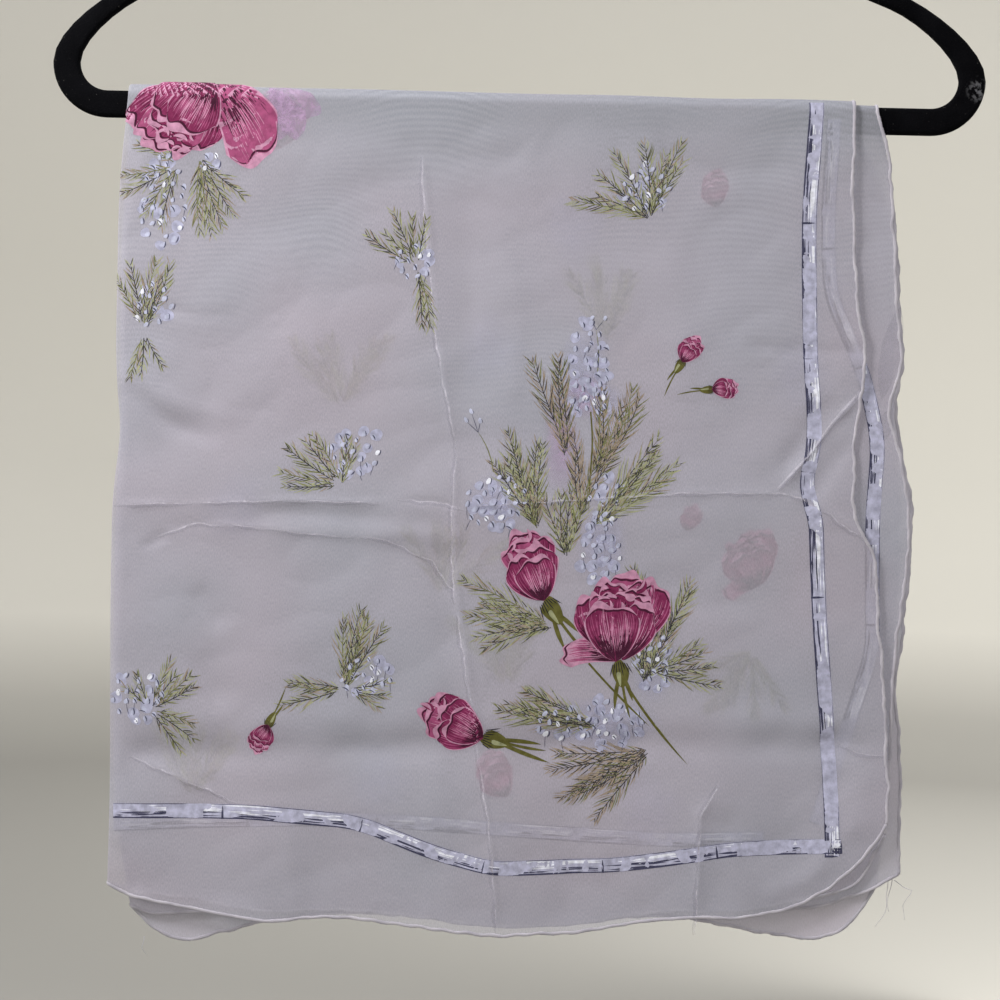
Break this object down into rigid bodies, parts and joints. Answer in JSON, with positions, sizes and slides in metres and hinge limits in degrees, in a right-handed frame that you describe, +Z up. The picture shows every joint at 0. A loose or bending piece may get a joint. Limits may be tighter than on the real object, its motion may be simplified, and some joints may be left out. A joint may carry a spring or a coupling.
{
  "type": "chiffon scarf on a coat hanger",
  "caption": "Printed sheer chiffon square scarf, folded in half and hung over the bar of a flocked coat hanger with a wire hook.",
  "frame": {"origin": "inside top of the hook, where the rail carries the hanger", "axes": "+Z up, +Y from the front of the scarf to its back, +X to the right as seen from the front"},
  "size_m": [0.45, 0.0124, 0.632],
  "materials": {
    "flock": "dense black flocking, slightly worn at the ends",
    "wire": "bright plated steel wire",
    "chiffon": "sheer lilac-grey chiffon with a printed floral pattern",
    "hem": "narrow rolled and stitched chiffon hem"
  },
  "bodies": {
    "root": {"hanger_body": "flock", "hanger_hook": "wire", "front_outer": "chiffon", "front_outer_side_hem": "hem", "front_outer_bottom_hem": "hem", "front_inner": "chiffon", "front_inner_side_hem": "hem", "front_inner_bottom_hem": "hem", "front_left_fold": "chiffon", "top_outer": "chiffon", "top_outer_side_hem": "hem", "top_inner": "chiffon", "top_inner_side_hem": "hem", "top_left_fold": "chiffon", "back_outer": "chiffon", "back_outer_side_hem": "hem", "back_outer_bottom_hem": "hem", "back_inner": "chiffon", "back_inner_side_hem": "hem", "back_inner_bottom_hem": "hem", "back_left_fold": "chiffon"}
  },
  "joints": []
}
